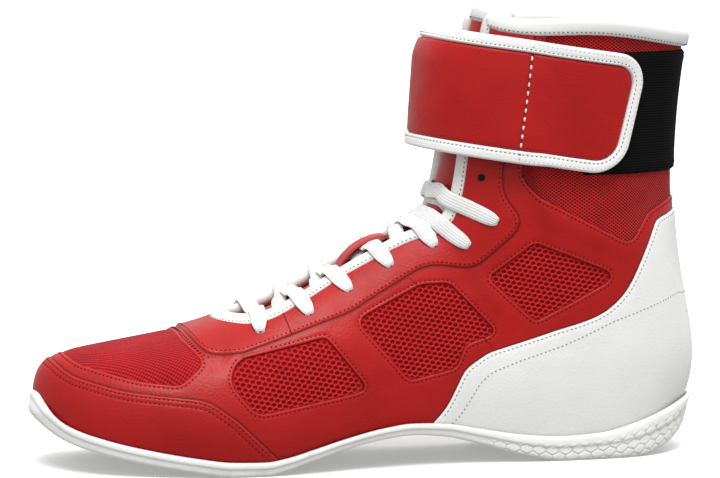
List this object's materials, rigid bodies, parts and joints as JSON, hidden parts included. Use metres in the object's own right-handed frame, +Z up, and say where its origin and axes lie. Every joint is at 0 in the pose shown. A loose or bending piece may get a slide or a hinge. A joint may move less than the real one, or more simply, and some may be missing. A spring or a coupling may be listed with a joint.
{
  "type": "boxing shoe",
  "caption": "High-top left boxing boot with a thin cup sole, mesh and leather upper, laced throat, padded collar and a wide ankle strap with elastic at the back.",
  "frame": {"origin": "on the ground under the middle of the shoe's length and width", "axes": "+X from toe to heel, +Y towards the inner side of the foot, +Z up"},
  "size_m": [0.2893, 0.0947, 0.1908],
  "materials": {
    "rubber_white": "matte",
    "lining": "matte",
    "mesh_red": "matte",
    "leather_red": "satin",
    "leather_white": "satin",
    "lace_white": "matte",
    "elastic_black": "matte"
  },
  "bodies": {
    "root": {"outsole": "rubber_white", "insole": "lining", "upper": "mesh_red", "toe_guard": "leather_red", "quarter": "leather_red", "eyestay": "leather_red", "heel_counter": "leather_white", "throat_binding": "leather_white", "tongue": "leather_red", "lace_loop": "leather_red", "laces": "lace_white", "strap": "leather_red", "strap_binding": "leather_white", "strap_elastic": "elastic_black"}
  },
  "joints": []
}
